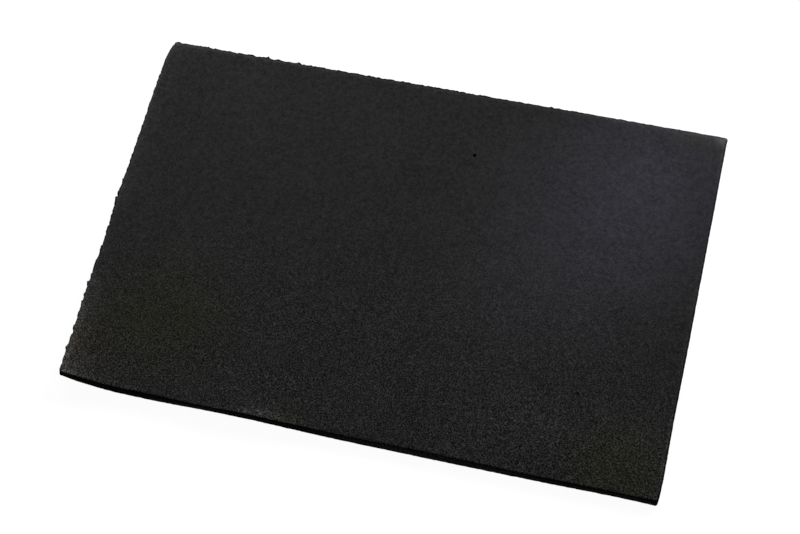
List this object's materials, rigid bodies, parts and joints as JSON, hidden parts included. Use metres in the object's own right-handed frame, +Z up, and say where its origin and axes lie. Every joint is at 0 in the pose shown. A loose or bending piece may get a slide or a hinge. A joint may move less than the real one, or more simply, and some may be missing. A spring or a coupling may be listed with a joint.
{
  "type": "foam sheet",
  "caption": "Thin dark sheet of closed-cell foam with two ragged hand-cut edges and one corner curled up, for padding, lining or cutting to shape.",
  "frame": {"origin": "centre of the sheet's bounding box in plan, on the table plane that its underside lies on", "axes": "+X along the long edge, +Y along the short edge from the clean near edge to the ragged far edge, +Z up through the thickness"},
  "size_m": [0.148, 0.105, 0.0066],
  "materials": {
    "foam": "matt black closed-cell foam with a fine open grain on both faces and on the cut edges"
  },
  "bodies": {
    "root": {"foam_sheet": "foam"}
  },
  "joints": []
}
